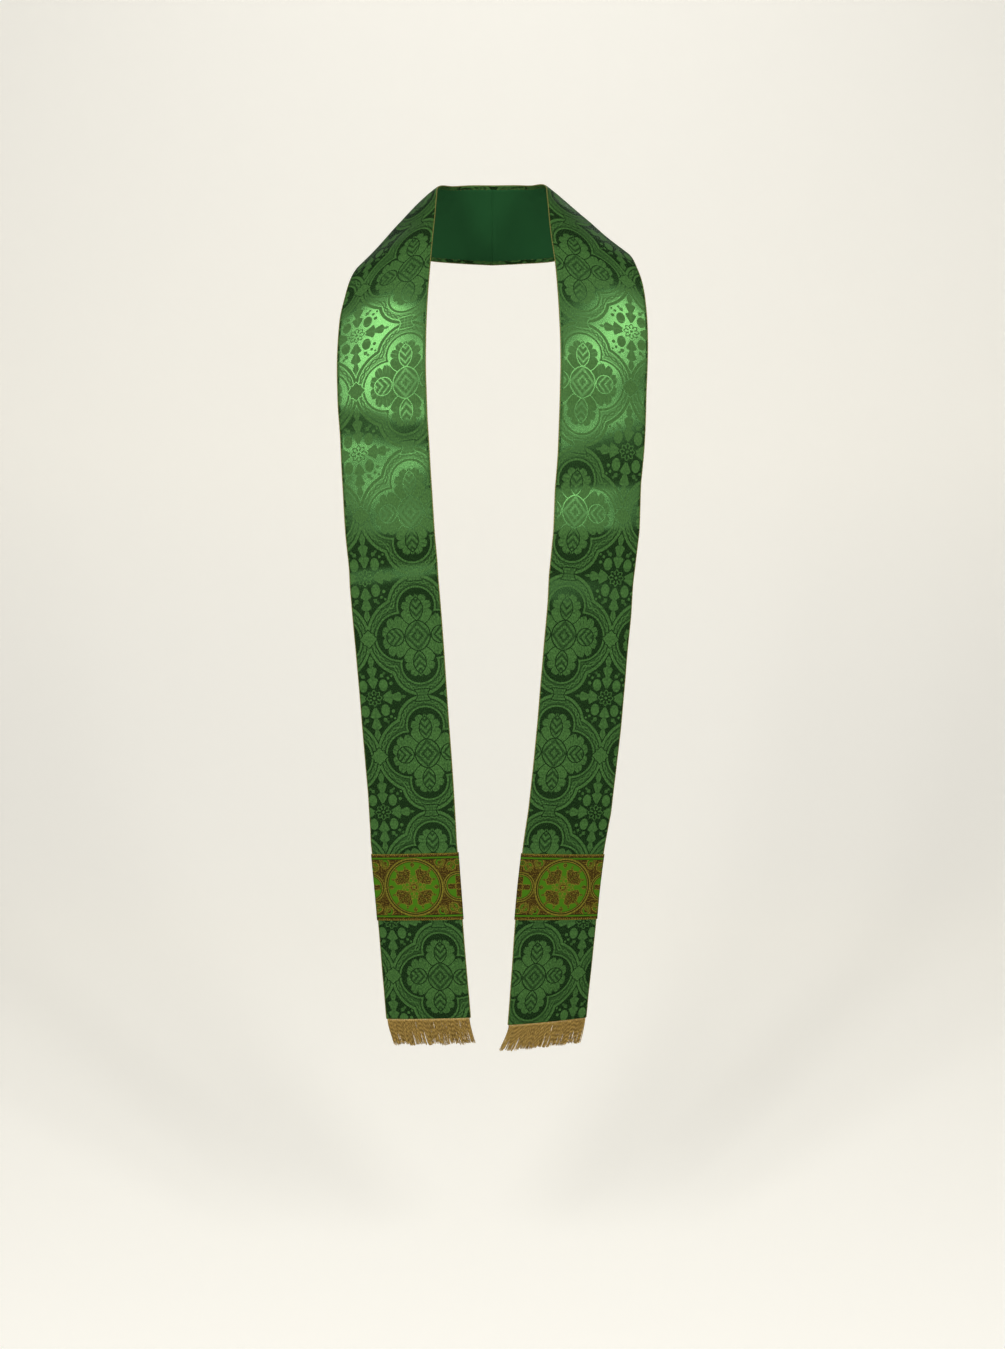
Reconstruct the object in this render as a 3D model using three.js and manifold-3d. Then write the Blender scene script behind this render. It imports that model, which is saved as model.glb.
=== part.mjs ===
// A lined liturgical stole in the shape it takes when worn: one long band of brocade in two halves,
// joined at the centre back, passing over both shoulders and hanging down the front to the shins.
// Millimetres, +Z up. The wearer faces -Y, and "left" is the side at -X. The origin is the middle of the
// neck, level with the highest points of the shoulders, where the wearer's neck and shoulders carry it.
import * as THREE from "three";
import Module from "manifold-3d";

const degree = Math.PI / 180;

// The band, from cord to cord.
const bandWidth = 124;
const clothThickness = 2.2;
const pipingDiameter = 1.7;
const seamGap = 0.3;
const bandEdge = pipingDiameter + seamGap;

// The woven trim across each end.
const trimHeight = 97;
const trimThickness = 1;

// The fringe: a narrow heading under the cloth's end, a little thicker than the cloth, and the strands
// that hang from it in two rows, one behind the other.
const headingHeight = 4;
const headingSpare = 0.4;
const strandLength = 37;
const strandRadius = 0.6;
const strandTaper = 0.25;
const strandsPerEnd = 58;
const rowDepth = 0.65;
const rowSpread = 0.4;
const rootDepth = 1;

// Unevenness of the strands: ripples of their sway and of their length, each with its size and its pace
// from one strand to the next.
const swayRipples = [{ size: 1, pace: 0.9 }, { size: 0.5, pace: 2.3 }];
const lengthRipple = { size: 1.5, pace: 1.7 };
const swayCurve = 1.5;

// Steps along and across the band. The neck and shoulder bend most, so their steps are short.
const bendStep = 13;
const bendReach = 370;
const hangStep = 46;
const acrossSteps = 6;
const pipingSides = 5;
const strandShares = [0, 0.3, 0.65, 1];

// How far apart the points lie that give the band's direction at a place.
const probe = 1;

// The sections across the band, from the centre back to its end. x, y and z are the inner edge, with x
// counted outward from the middle. yaw turns the section backward from straight sideways, drop slopes it
// down toward the outer edge, both in degrees, and bow is how far its middle stands out.
const backSections = [
  { at: "centre back", x: 0, y: 72, z: 15, yaw: 90, drop: 60, bow: 4 },
  { at: "nape", x: 28, y: 67, z: 14.5, yaw: 77, drop: 58, bow: 6 },
  { at: "neck back", x: 53, y: 51, z: 12, yaw: 61, drop: 54, bow: 8 },
];

const leftSections = [
  ...backSections,
  { at: "neck side", x: 74, y: 11, z: 7, yaw: 42, drop: 45, bow: 10 },
  { at: "shoulder top", x: 76, y: -11, z: -11, yaw: 22, drop: 39, bow: 11 },
  { at: "shoulder front", x: 77, y: -30, z: -36, yaw: 7, drop: 32, bow: 9 },
  { at: "collarbone", x: 79, y: -51, z: -63, yaw: -1, drop: 26, bow: 7 },
  { at: "upper chest", x: 82, y: -78, z: -107, yaw: 2, drop: 19, bow: 5 },
  { at: "chest top", x: 85, y: -99, z: -153, yaw: 6, drop: 12, bow: 4 },
  { at: "chest", x: 87, y: -115, z: -208, yaw: 9, drop: 6.5, bow: 3 },
  { at: "chest front", x: 87, y: -125, z: -260, yaw: 10.5, drop: 4, bow: 2 },
  { at: "under chest", x: 82, y: -133, z: -359, yaw: 10.5, drop: 4, bow: 2 },
  { at: "waist", x: 70.5, y: -137, z: -521, yaw: 10, drop: 4, bow: 2 },
  { at: "hip", x: 61, y: -138, z: -667, yaw: 9.5, drop: 4, bow: 2 },
  { at: "thigh", x: 52.5, y: -139, z: -797, yaw: 11.5, drop: 4, bow: 2 },
  { at: "knee", x: 43.5, y: -139, z: -950, yaw: 12, drop: 4.5, bow: 2 },
  { at: "end", x: 29.5, y: -140, z: -1148, yaw: 10, drop: 4.5, bow: 2 },
];

const rightSections = [
  ...backSections,
  { at: "neck side", x: 74, y: 11, z: 8, yaw: 42, drop: 42, bow: 9 },
  { at: "shoulder top", x: 76.5, y: -11, z: -10, yaw: 22, drop: 34, bow: 11 },
  { at: "shoulder front", x: 78, y: -30, z: -35, yaw: 7, drop: 25, bow: 9 },
  { at: "collarbone", x: 80.5, y: -51, z: -64, yaw: 0, drop: 19, bow: 6 },
  { at: "upper chest", x: 86, y: -78, z: -107, yaw: 4, drop: 13, bow: 5 },
  { at: "chest top", x: 89.5, y: -99, z: -154, yaw: 8, drop: 9, bow: 4 },
  { at: "chest", x: 92, y: -115, z: -208, yaw: 12, drop: 5.5, bow: 3 },
  { at: "chest front", x: 92, y: -125, z: -260, yaw: 15, drop: 3, bow: 2 },
  { at: "under chest", x: 88, y: -133, z: -359, yaw: 17, drop: 3, bow: 2 },
  { at: "waist", x: 76, y: -137, z: -526, yaw: 18, drop: 4, bow: 2 },
  { at: "hip", x: 64.5, y: -138, z: -680, yaw: 18, drop: 5, bow: 2 },
  { at: "thigh", x: 53.5, y: -139, z: -797, yaw: 18.5, drop: 5, bow: 2 },
  { at: "knee", x: 36, y: -139, z: -950, yaw: 20, drop: 6, bow: 2 },
  { at: "end", x: 22, y: -140, z: -1159, yaw: 22, drop: 3, bow: 2 },
];

// Each half of the stole. sign is the side it lies on, belowTrim is the plain cloth under its woven trim,
// and the two sways are how far the fringe's tips swing toward the middle at the inner and outer edges.
const halves = [
  { name: "left", sign: -1, sections: leftSections, belowTrim: 146, innerSway: 5, outerSway: 6 },
  { name: "right", sign: 1, sections: rightSections, belowTrim: 156, innerSway: 12, outerSway: 4 },
];

const brocade = { color: 0x2f7a35, roughness: 0.5, metalness: 0 };
const goldTrim = { color: 0x8a8a2a, roughness: 0.4, metalness: 0.3 };
const oliveCord = { color: 0x7a6a2c, roughness: 0.6, metalness: 0.1 };
const goldThread = { color: 0xb09040, roughness: 0.5, metalness: 0.3 };

// Distances along the inner edge at which the sections lie.
function sectionDistances(sections) {
  const distances = [0];
  for (let i = 1; i < sections.length; i += 1) {
    const from = sections[i - 1];
    const to = sections[i];
    distances.push(distances[i - 1] + Math.hypot(to.x - from.x, to.y - from.y, to.z - from.z));
  }
  return distances;
}

// One column of the sections at a distance along the band, on a smooth curve through the rows. Past the
// last row it runs straight on.
function columnAt(half, column, distance) {
  const { sections, distances } = half;
  const last = sections.length - 1;
  const slope = (i) => {
    const a = Math.max(i - 1, 0);
    const b = Math.min(i + 1, last);
    return (sections[b][column] - sections[a][column]) / (distances[b] - distances[a]);
  };
  if (distance >= distances[last]) {
    return sections[last][column] + slope(last) * (distance - distances[last]);
  }
  let i = 0;
  while (distances[i + 1] < distance) {
    i += 1;
  }
  const span = distances[i + 1] - distances[i];
  const u = (distance - distances[i]) / span;
  const ease = u * u * (3 - 2 * u);
  return sections[i][column] * (1 - ease) + sections[i + 1][column] * ease
    + span * u * (1 - u) * (slope(i) * (1 - u) - slope(i + 1) * u);
}

// A point of the band's outer face: distance along the inner edge, and width across from it.
function facePoint(half, distance, width) {
  const at = (column) => columnAt(half, column, distance);
  const yaw = at("yaw") * degree;
  const drop = at("drop") * degree;
  const level = Math.cos(drop);
  const across = new THREE.Vector3(level * Math.cos(yaw), level * Math.sin(yaw), -Math.sin(drop));
  const along = new THREE.Vector3(at("x"), at("y"), at("z"));
  const next = (column) => columnAt(half, column, distance + probe);
  const ahead = new THREE.Vector3(next("x"), next("y"), next("z"));
  const outward = ahead.sub(along).cross(across).normalize();
  const u = width / bandWidth;
  const point = along.addScaledVector(across, width).addScaledVector(outward, at("bow") * 4 * u * (1 - u));
  point.x *= half.sign;
  return point;
}

// The same point moved off the outer face: out when lift is positive, into the cloth when it is negative.
// On the centre-back seam it is kept in the seam's own plane.
function bandPoint(half, distance, width, lift) {
  const behind = facePoint(half, Math.max(distance - probe, 0), width);
  const along = facePoint(half, distance + probe, width).sub(behind);
  const across = facePoint(half, distance, width + probe).sub(facePoint(half, distance, width - probe));
  const outward = along.cross(across).normalize().multiplyScalar(half.sign);
  const point = facePoint(half, distance, width).addScaledVector(outward, lift);
  if (distance === 0) {
    point.x = half.sign * seamGap / 2;
  }
  return point;
}

// The distances at which the band has a ring of points, from one distance to another.
function stations(from, to) {
  const bend = Math.max(Math.min(bendReach, to) - from, 0);
  const bendCount = Math.ceil(bend / bendStep);
  const hangCount = Math.ceil((to - from - bend) / hangStep);
  const list = [from];
  for (let i = 1; i <= bendCount; i += 1) {
    list.push(from + bend * i / bendCount);
  }
  for (let i = 1; i <= hangCount; i += 1) {
    list.push(from + bend + (to - from - bend) * i / hangCount);
  }
  return list;
}

function signedVolume(points, triangles) {
  const part = ([a, b, c]) => points[a].dot(new THREE.Vector3().crossVectors(points[b], points[c])) / 6;
  return triangles.reduce((sum, triangle) => sum + part(triangle), 0);
}

// A closed body from rings of points, each ring a closed loop: sides between rings and a cap at each end.
// A cap joins the first half of its ring to the second half, so a long flat ring closes with narrow strips.
function ringBody(rings) {
  const count = rings[0].length;
  const points = rings.flat();
  const triangles = [];
  for (let i = 0; i + 1 < rings.length; i += 1) {
    for (let j = 0; j < count; j += 1) {
      const a = i * count + j;
      const b = i * count + (j + 1) % count;
      triangles.push([a, b, b + count], [a, b + count, a + count]);
    }
  }
  const end = (rings.length - 1) * count;
  for (let low = 0, high = count - 1; low + 1 < high; low += 1, high -= 1) {
    triangles.push([low, high, low + 1], [end + low, end + low + 1, end + high]);
    if (low + 1 < high - 1) {
      triangles.push([low + 1, high, high - 1], [end + low + 1, end + high - 1, end + high]);
    }
  }
  if (signedVolume(points, triangles) < 0) {
    triangles.forEach((triangle) => triangle.reverse());
  }
  return { points, triangles };
}

function geometryOf({ points, triangles }) {
  const geometry = new THREE.BufferGeometry();
  geometry.setAttribute("position", new THREE.Float32BufferAttribute(points.flatMap((p) => p.toArray()), 3));
  geometry.setIndex(triangles.flat());
  geometry.computeVertexNormals();
  return geometry;
}

// A layer of cloth between two lifts, with a ring at each distance. Its sides keep a margin to the
// band's outermost edges.
function clothLayer(half, distances, margin, lowLift, highLift) {
  const widths = [];
  for (let j = 0; j <= acrossSteps; j += 1) {
    widths.push(margin + (bandWidth - 2 * margin) * j / acrossSteps);
  }
  return ringBody(distances.map((distance) => [
    ...widths.map((width) => bandPoint(half, distance, width, highLift)),
    ...widths.toReversed().map((width) => bandPoint(half, distance, width, lowLift)),
  ]));
}

function panel(half) {
  return clothLayer(half, half.rings, bandEdge, -clothThickness, 0);
}

// The woven trim runs over the cords to the band's full width.
function trim(half) {
  const distances = half.rings.filter((d) => d >= half.trimTop && d <= half.trimBottom);
  return clothLayer(half, distances, 0, seamGap, seamGap + trimThickness);
}

// The cord along one edge, centred half way through the cloth.
function piping(half, width) {
  const radius = pipingDiameter / 2;
  return ringBody(half.rings.map((distance) => {
    const ring = [];
    for (let k = 0; k < pipingSides; k += 1) {
      const turn = 2 * Math.PI * k / pipingSides;
      const lift = radius * Math.sin(turn) - clothThickness / 2;
      ring.push(bandPoint(half, distance, width + radius * Math.cos(turn), lift));
    }
    return ring;
  }));
}

// How far a strand's tip swings toward the middle, and how long the strand hangs below the heading.
function strandSway(half, index) {
  const share = index / (strandsPerEnd - 1);
  const ripple = swayRipples.reduce((sum, { size, pace }) => sum + size * Math.sin(index * pace), 0);
  return half.innerSway + (half.outerSway - half.innerSway) * share + ripple;
}

function strandReach(index) {
  return strandLength - lengthRipple.size * (1 + Math.sin(index * lengthRipple.pace));
}

// A four-sided strand with its root inside the heading.
function strand(half, index) {
  const pitch = (bandWidth - 2 * bandEdge) / strandsPerEnd;
  const width = bandEdge + pitch * (index + 0.5);
  const row = index % 2 ? rowDepth : -rowDepth;
  const start = half.end + seamGap + headingHeight - rootDepth;
  const reach = strandReach(index) + rootDepth;
  const corners = [[1, 1], [1, -1], [-1, -1], [-1, 1]];
  return ringBody(strandShares.map((share) => {
    const swung = width - strandSway(half, index) * share ** swayCurve;
    const middle = row * (1 + rowSpread * share) - clothThickness / 2;
    const radius = strandRadius * (1 - strandTaper * share);
    return corners.map(([sideways, outward]) => (
      bandPoint(half, start + reach * share, swung + sideways * radius, middle + outward * radius)
    ));
  }));
}

const wasm = await Module();
wasm.setup();

function solidOf({ points, triangles }) {
  const vertProperties = new Float32Array(points.flatMap((p) => p.toArray()));
  const triVerts = new Uint32Array(triangles.flat());
  return new wasm.Manifold(new wasm.Mesh({ numProp: 3, vertProperties, triVerts }));
}

function joinedGeometry(bodies) {
  const mesh = wasm.Manifold.union(bodies.map(solidOf)).getMesh();
  const geometry = new THREE.BufferGeometry();
  geometry.setAttribute("position", new THREE.BufferAttribute(mesh.vertProperties, 3));
  geometry.setIndex(new THREE.BufferAttribute(mesh.triVerts, 1));
  geometry.computeVertexNormals();
  return geometry;
}

function fringe(half) {
  const top = half.end + seamGap;
  const back = -clothThickness - headingSpare;
  const bodies = [clothLayer(half, [top, top + headingHeight], bandEdge, back, headingSpare)];
  for (let index = 0; index < strandsPerEnd; index += 1) {
    bodies.push(strand(half, index));
  }
  return joinedGeometry(bodies);
}

function piece(name, geometry, finish) {
  const mesh = new THREE.Mesh(geometry, new THREE.MeshStandardMaterial(finish));
  mesh.name = name;
  return mesh;
}

// A half with what follows from its sections: where its trim and its end lie, and where its rings are.
function measured(half) {
  const distances = sectionDistances(half.sections);
  const end = distances.at(-1);
  const trimBottom = end - half.belowTrim;
  const trimTop = trimBottom - trimHeight;
  const rings = [
    ...stations(0, trimTop),
    ...stations(trimTop, trimBottom).slice(1),
    ...stations(trimBottom, end).slice(1),
  ];
  return { ...half, distances, end, trimTop, trimBottom, rings };
}

const stole = new THREE.Group();
for (const half of halves.map(measured)) {
  stole.add(
    piece(`panel_${half.name}`, geometryOf(panel(half)), brocade),
    piece(`galloon_${half.name}`, geometryOf(trim(half)), goldTrim),
    piece(`piping_${half.name}_inner`, geometryOf(piping(half, pipingDiameter / 2)), oliveCord),
    piece(`piping_${half.name}_outer`, geometryOf(piping(half, bandWidth - pipingDiameter / 2)), oliveCord),
    piece(`fringe_${half.name}`, fringe(half), goldThread),
  );
}

export default stole;
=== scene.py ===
# The finish of a lined liturgical stole in the shape it takes when worn: brocade, lining, edge cords,
# woven galloons and thread fringes, each made on the form of its own solid.
# Lengths are millimetres in this script, and each mesh is made in metres.
import math

import bpy
import numpy as np
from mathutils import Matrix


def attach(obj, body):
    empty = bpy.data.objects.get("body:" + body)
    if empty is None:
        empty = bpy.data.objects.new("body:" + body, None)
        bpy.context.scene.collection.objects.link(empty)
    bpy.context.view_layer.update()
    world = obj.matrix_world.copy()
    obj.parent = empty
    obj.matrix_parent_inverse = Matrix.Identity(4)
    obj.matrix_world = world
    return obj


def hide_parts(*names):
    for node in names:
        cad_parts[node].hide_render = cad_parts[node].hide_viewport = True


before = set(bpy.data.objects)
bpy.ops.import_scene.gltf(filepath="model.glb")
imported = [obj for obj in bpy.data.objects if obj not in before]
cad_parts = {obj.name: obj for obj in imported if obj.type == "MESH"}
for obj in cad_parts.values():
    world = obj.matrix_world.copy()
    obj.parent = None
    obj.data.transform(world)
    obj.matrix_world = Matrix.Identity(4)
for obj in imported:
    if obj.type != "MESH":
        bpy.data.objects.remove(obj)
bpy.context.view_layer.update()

METRE = 0.001

# The band, as its solids have it.
BAND_WIDTH = 124
CLOTH_THICKNESS = 2.2
PIPING_DIAMETER = 1.7
SEAM_GAP = 0.3
BAND_EDGE = PIPING_DIAMETER + SEAM_GAP
MID_CLOTH = -CLOTH_THICKNESS / 2
TRIM_HEIGHT = 97

# A short step along the band, by which slopes are measured.
PROBE = 1

# The sections across the band, from the centre back to its end, as its solids have them: the inner edge,
# the backward turn and the outward drop in degrees, and how far the middle stands out.
X, Y, Z, YAW, DROP, BOW = range(6)
BACK_SECTIONS = [
    (0, 72, 15, 90, 60, 4),
    (28, 67, 14.5, 77, 58, 6),
    (53, 51, 12, 61, 54, 8),
]
LEFT_SECTIONS = BACK_SECTIONS + [
    (74, 11, 7, 42, 45, 10),
    (76, -11, -11, 22, 39, 11),
    (77, -30, -36, 7, 32, 9),
    (79, -51, -63, -1, 26, 7),
    (82, -78, -107, 2, 19, 5),
    (85, -99, -153, 6, 12, 4),
    (87, -115, -208, 9, 6.5, 3),
    (87, -125, -260, 10.5, 4, 2),
    (82, -133, -359, 10.5, 4, 2),
    (70.5, -137, -521, 10, 4, 2),
    (61, -138, -667, 9.5, 4, 2),
    (52.5, -139, -797, 11.5, 4, 2),
    (43.5, -139, -950, 12, 4.5, 2),
    (29.5, -140, -1148, 10, 4.5, 2),
]
RIGHT_SECTIONS = BACK_SECTIONS + [
    (74, 11, 8, 42, 42, 9),
    (76.5, -11, -10, 22, 34, 11),
    (78, -30, -35, 7, 25, 9),
    (80.5, -51, -64, 0, 19, 6),
    (86, -78, -107, 4, 13, 5),
    (89.5, -99, -154, 8, 9, 4),
    (92, -115, -208, 12, 5.5, 3),
    (92, -125, -260, 15, 3, 2),
    (88, -133, -359, 17, 3, 2),
    (76, -137, -526, 18, 4, 2),
    (64.5, -138, -680, 18, 5, 2),
    (53.5, -139, -797, 18.5, 5, 2),
    (36, -139, -950, 20, 6, 2),
    (22, -140, -1159, 22, 3, 2),
]

# The soft creases that folding left, as the tilt of the cloth at distances along the band: degrees that it
# faces up more than its solid does. A change over a few millimetres is a crease.
LEFT_TILTS = [
    (300, 0), (380, 1), (420, 3.5), (444, 4.5), (462, -1.5), (478, -1.5), (498, 5.5), (540, 5), (606, 6),
    (624, -4), (650, -5), (659, 8), (672, 8), (684, -2), (740, -1), (800, 1), (850, 2), (900, 1),
    (955, 0), (970, 3), (1022, 2.5), (1031, 9), (1040, 5), (1048, -6), (1062, -2), (1100, 0), (1180, 1),
    (1230, -1), (1300, 0),
]
RIGHT_TILTS = [
    (300, 0), (380, 1), (420, 3.5), (472, 4.5), (500, 2), (520, -2), (544, -2), (558, 9), (604, 9),
    (618, -3), (668, -4), (682, 6.5), (708, 6), (722, -1.5), (780, 0.5), (840, 2.5), (900, 1.5),
    (950, 1), (964, 4), (994, 4), (1004, -5), (1020, -3), (1060, 0), (1150, 0.5), (1230, -1), (1315, 0),
]

# How far a crease shifts along the band at its edges, and how that changes along it.
CREASE_WANDER = 12
CREASE_WANDER_LENGTH = 760
CREASE_WANDER_PHASE = 2.15

# Where the woven repeat lies: the distance along the band, the place in the repeat there, how far from the
# inner edge the middle of a quatrefoil is, and how far the weft drops for each millimetre outward.
LEFT_WEAVE = [
    (411, 0, 28, 0.12),
    (584, 165, 31, 0.02),
    (752, 330, 35, 0.03),
    (916, 495, 33, 0.04),
    (1198, 784, 35.5, -0.03),
    (1278, 866, 42.5, -0.04),
]
RIGHT_WEAVE = [
    (412, 0, 31, 0.06),
    (585, 165, 29, 0.05),
    (753, 330, 27, 0.04),
    (916, 495, 28, 0.04),
    (1203, 784, 36, -0.02),
    (1283, 866, 32, -0.03),
]

# Slow unevenness of the cloth: size, length along the band, and turn across it.
SWELLS = [
    {"size": 0.55, "length": 310, "turn": 1.1},
    {"size": 0.35, "length": 173, "turn": -1.9},
    {"size": 0.16, "length": 71, "turn": 2.6},
]

# The relief fades out toward the centre back within this distance.
SEAM_REACH = 40


class Half:
    """One half of the stole: its course, and the places on it."""

    def __init__(self, name, sign, sections, tilts, weave, below_trim, inner_sway, outer_sway):
        self.name = name
        self.sign = sign
        self.table = np.array(sections, float)
        steps = np.linalg.norm(np.diff(self.table[:, :YAW], axis=0), axis=1)
        self.distances = np.concatenate([[0], np.cumsum(steps)])
        low = np.maximum(np.arange(len(self.table)) - 1, 0)
        high = np.minimum(np.arange(len(self.table)) + 1, len(self.table) - 1)
        spans = (self.distances[high] - self.distances[low])[:, None]
        self.slopes = (self.table[high] - self.table[low]) / spans
        at, degrees = np.array(tilts, float).T
        self.crease_at = np.arange(at[0], at[-1], PROBE)
        rise = np.cumsum(np.tan(np.radians(np.interp(self.crease_at, at, degrees)))) * PROBE
        self.crease_rise = rise - np.linspace(0, rise[-1], len(rise))
        self.weave = np.array(weave, float)
        self.end = self.distances[-1]
        self.trim_bottom = self.end - below_trim
        self.trim_top = self.trim_bottom - TRIM_HEIGHT
        self.inner_sway = inner_sway
        self.outer_sway = outer_sway

    def row(self, s):
        """The six columns at each distance along the band, straight on past the last row."""
        d = self.distances
        i = np.clip(np.searchsorted(d, s) - 1, 0, len(d) - 2)
        span = (d[i + 1] - d[i])[..., None]
        u = (s - d[i])[..., None] / span
        ease = u * u * (3 - 2 * u)
        bend = self.slopes[i] * (1 - u) - self.slopes[i + 1] * u
        within = self.table[i] * (1 - ease) + self.table[i + 1] * ease + span * u * (1 - u) * bend
        beyond = self.table[-1] + self.slopes[-1] * (s - d[-1])[..., None]
        return np.where((s >= d[-1])[..., None], beyond, within)

    def face(self, s, a):
        """The plain outer face at distance s along the band and a across it from the inner edge."""
        row = self.row(s)
        yaw = np.radians(row[..., YAW])
        drop = np.radians(row[..., DROP])
        level = np.cos(drop)
        across = np.stack([level * np.cos(yaw), level * np.sin(yaw), -np.sin(drop)], -1)
        ahead = self.row(s + PROBE)[..., :YAW] - row[..., :YAW]
        outward = unit(np.cross(ahead, across))
        u = a / BAND_WIDTH
        bow = (row[..., BOW] * 4 * u * (1 - u))[..., None]
        point = row[..., :YAW] + across * a[..., None] + outward * bow
        point[..., X] *= self.sign
        return point

    def woven(self, s, a):
        """Places in the woven repeat, across and along it."""
        at, along, middle, skew = self.weave.T
        before = np.minimum(s - at[0], 0)
        after = np.maximum(s - at[-1], 0)
        x = a - np.interp(s, at, middle)
        y = np.interp(s, at, along) + before + after - x * np.interp(s, at, skew)
        return np.stack([x, y], -1)

    def relief(self, s, a):
        """How far the creases and the slow swells lift the cloth."""
        u = 2 * a / BAND_WIDTH - 1
        wander = CREASE_WANDER * u * np.sin(2 * math.pi * s / CREASE_WANDER_LENGTH - CREASE_WANDER_PHASE)
        lift = np.interp(s + wander, self.crease_at, self.crease_rise, left=0, right=0)
        for swell in SWELLS:
            turn = swell["turn"] * self.sign
            lift += swell["size"] * np.sin(2 * math.pi * s / swell["length"] + turn * (u + self.sign))
        return lift * np.clip(s / SEAM_REACH, 0, 1) ** 2

    def place(self, s, a, lift):
        """Points lifted off the cloth's outer face, creases included. s, a and lift have one shape."""
        s, a, lift = np.broadcast_arrays(*(np.asarray(x, float) for x in (s, a, lift)))
        behind = self.face(np.maximum(s - PROBE, 0), a)
        along = self.face(s + PROBE, a) - behind
        across = self.face(s, a + PROBE) - self.face(s, a - PROBE)
        outward = unit(np.cross(along, across)) * self.sign
        point = self.face(s, a) + outward * (lift + self.relief(s, a))[..., None]

        # No point passes the centre back, and the first ring lies on it.
        beside = np.maximum(point[..., X] * self.sign, 0)
        point[..., X] = self.sign * np.where(s <= 0, 0, beside)
        return point


def unit(v):
    return v / np.linalg.norm(v, axis=-1, keepdims=True)


HALVES = [
    Half("left", -1, LEFT_SECTIONS, LEFT_TILTS, LEFT_WEAVE, below_trim=146, inner_sway=5, outer_sway=6),
    Half("right", 1, RIGHT_SECTIONS, RIGHT_TILTS, RIGHT_WEAVE, below_trim=156, inner_sway=12, outer_sway=4),
]


# Meshes


def tube_faces(count, rings, sides):
    """Quads of closed tubes, each with its rings one after another and its ends closed by strips."""
    i = np.arange(rings - 1)[:, None]
    j = np.arange(sides)[None, :]
    a = i * sides + j
    b = i * sides + (j + 1) % sides
    walls = np.stack([a, b, b + sides, a + sides], -1).reshape(-1, 4)
    low = np.arange(sides // 2 - 1)
    cap = np.stack([low, sides - 1 - low, sides - 2 - low, low + 1], -1)
    far_cap = cap[:, ::-1] + (rings - 1) * sides
    one = np.concatenate([walls, cap, far_cap])
    starts = np.arange(count)[:, None, None] * rings * sides
    return (one[None] + starts).reshape(-1, 4)


def volume(points, quads):
    a, b, c, d = (points[quads[:, k]] for k in range(4))
    return float((a * np.cross(b, c)).sum() + (a * np.cross(c, d)).sum()) / 6


def tube_object(name, grid, material, uv=None, tint=None):
    """A piece made of closed tubes. grid is tubes by rings by sides by 3, uv and tint go with it."""
    count, rings, sides = grid.shape[:3]
    points = grid.reshape(-1, 3)
    quads = tube_faces(count, rings, sides)
    if volume(points, quads) < 0:
        quads = quads[:, ::-1]
    mesh = bpy.data.meshes.new(name)
    mesh.vertices.add(len(points))
    mesh.vertices.foreach_set("co", (points * METRE).ravel())
    mesh.loops.add(quads.size)
    mesh.loops.foreach_set("vertex_index", quads.ravel())
    mesh.polygons.add(len(quads))
    mesh.polygons.foreach_set("loop_start", np.arange(0, quads.size, 4))
    mesh.polygons.foreach_set("use_smooth", np.ones(len(quads), bool))
    if uv is not None:
        layer = mesh.uv_layers.new(name="cloth")
        layer.data.foreach_set("uv", (uv.reshape(-1, 2)[quads.ravel()] * METRE).ravel())
    if tint is not None:
        colours = mesh.attributes.new("tint", "FLOAT", "POINT")
        colours.data.foreach_set("value", tint.ravel().astype(np.float32))
    mesh.update(calc_edges=True)
    mesh.validate()
    mesh.materials.append(material)
    piece = bpy.data.objects.new(name, mesh)
    bpy.context.scene.collection.objects.link(piece)
    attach(piece, "root")
    return piece


def rounded_loop(low, high, half_depth, steps, corner_steps):
    """A flat closed section: widths and lifts about its middle, with half-round sides."""
    flat = np.linspace(low + half_depth, high - half_depth, steps)
    turn = np.linspace(0, math.pi, corner_steps + 2)[1:-1]
    widths = np.concatenate([
        flat,
        high - half_depth + half_depth * np.sin(turn),
        flat[::-1],
        low + half_depth - half_depth * np.sin(turn),
    ])
    lifts = np.concatenate([
        np.full(steps, half_depth),
        half_depth * np.cos(turn),
        np.full(steps, -half_depth),
        -half_depth * np.cos(turn),
    ])
    return widths, lifts


def rounded_run(start, stop, half_depth, step, corner_steps):
    """Distances from start to stop, and at each the share of the depth left by half-round ends."""
    middle = np.linspace(start + half_depth, stop - half_depth, math.ceil((stop - start) / step))
    turn = np.linspace(0, math.pi / 2, corner_steps + 1)[:-1]
    ahead = start + half_depth * (1 - np.cos(turn))
    after = stop - half_depth * (1 - np.cos(turn[::-1]))
    distances = np.concatenate([ahead, middle, after])
    shares = np.concatenate([np.sin(turn), np.ones(len(middle)), np.sin(turn[::-1])])
    return distances, shares


# A ring at a half-round end keeps this much of its depth, so that it never closes to a line.
LEAST_SHARE = 0.12


def cloth_object(half, name, material, run, loop, middle):
    """A closed layer of cloth: a section swept along a run of distances about a middle lift."""
    distances, shares = run
    widths, lifts = loop
    shares = np.maximum(shares, LEAST_SHARE)
    s = np.broadcast_to(distances[:, None], (len(distances), len(widths)))
    a = np.broadcast_to(widths[None, :], s.shape)
    grid = half.place(s, a, middle + shares[:, None] * lifts[None, :])
    return tube_object(name, grid[None], material, uv=half.woven(s, a))


# Materials

# Half the width over which a drawn edge fades, and how many finer layers the noise has.
SOFT_EDGE = 0.3
NOISE_DETAIL = 2


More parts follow.
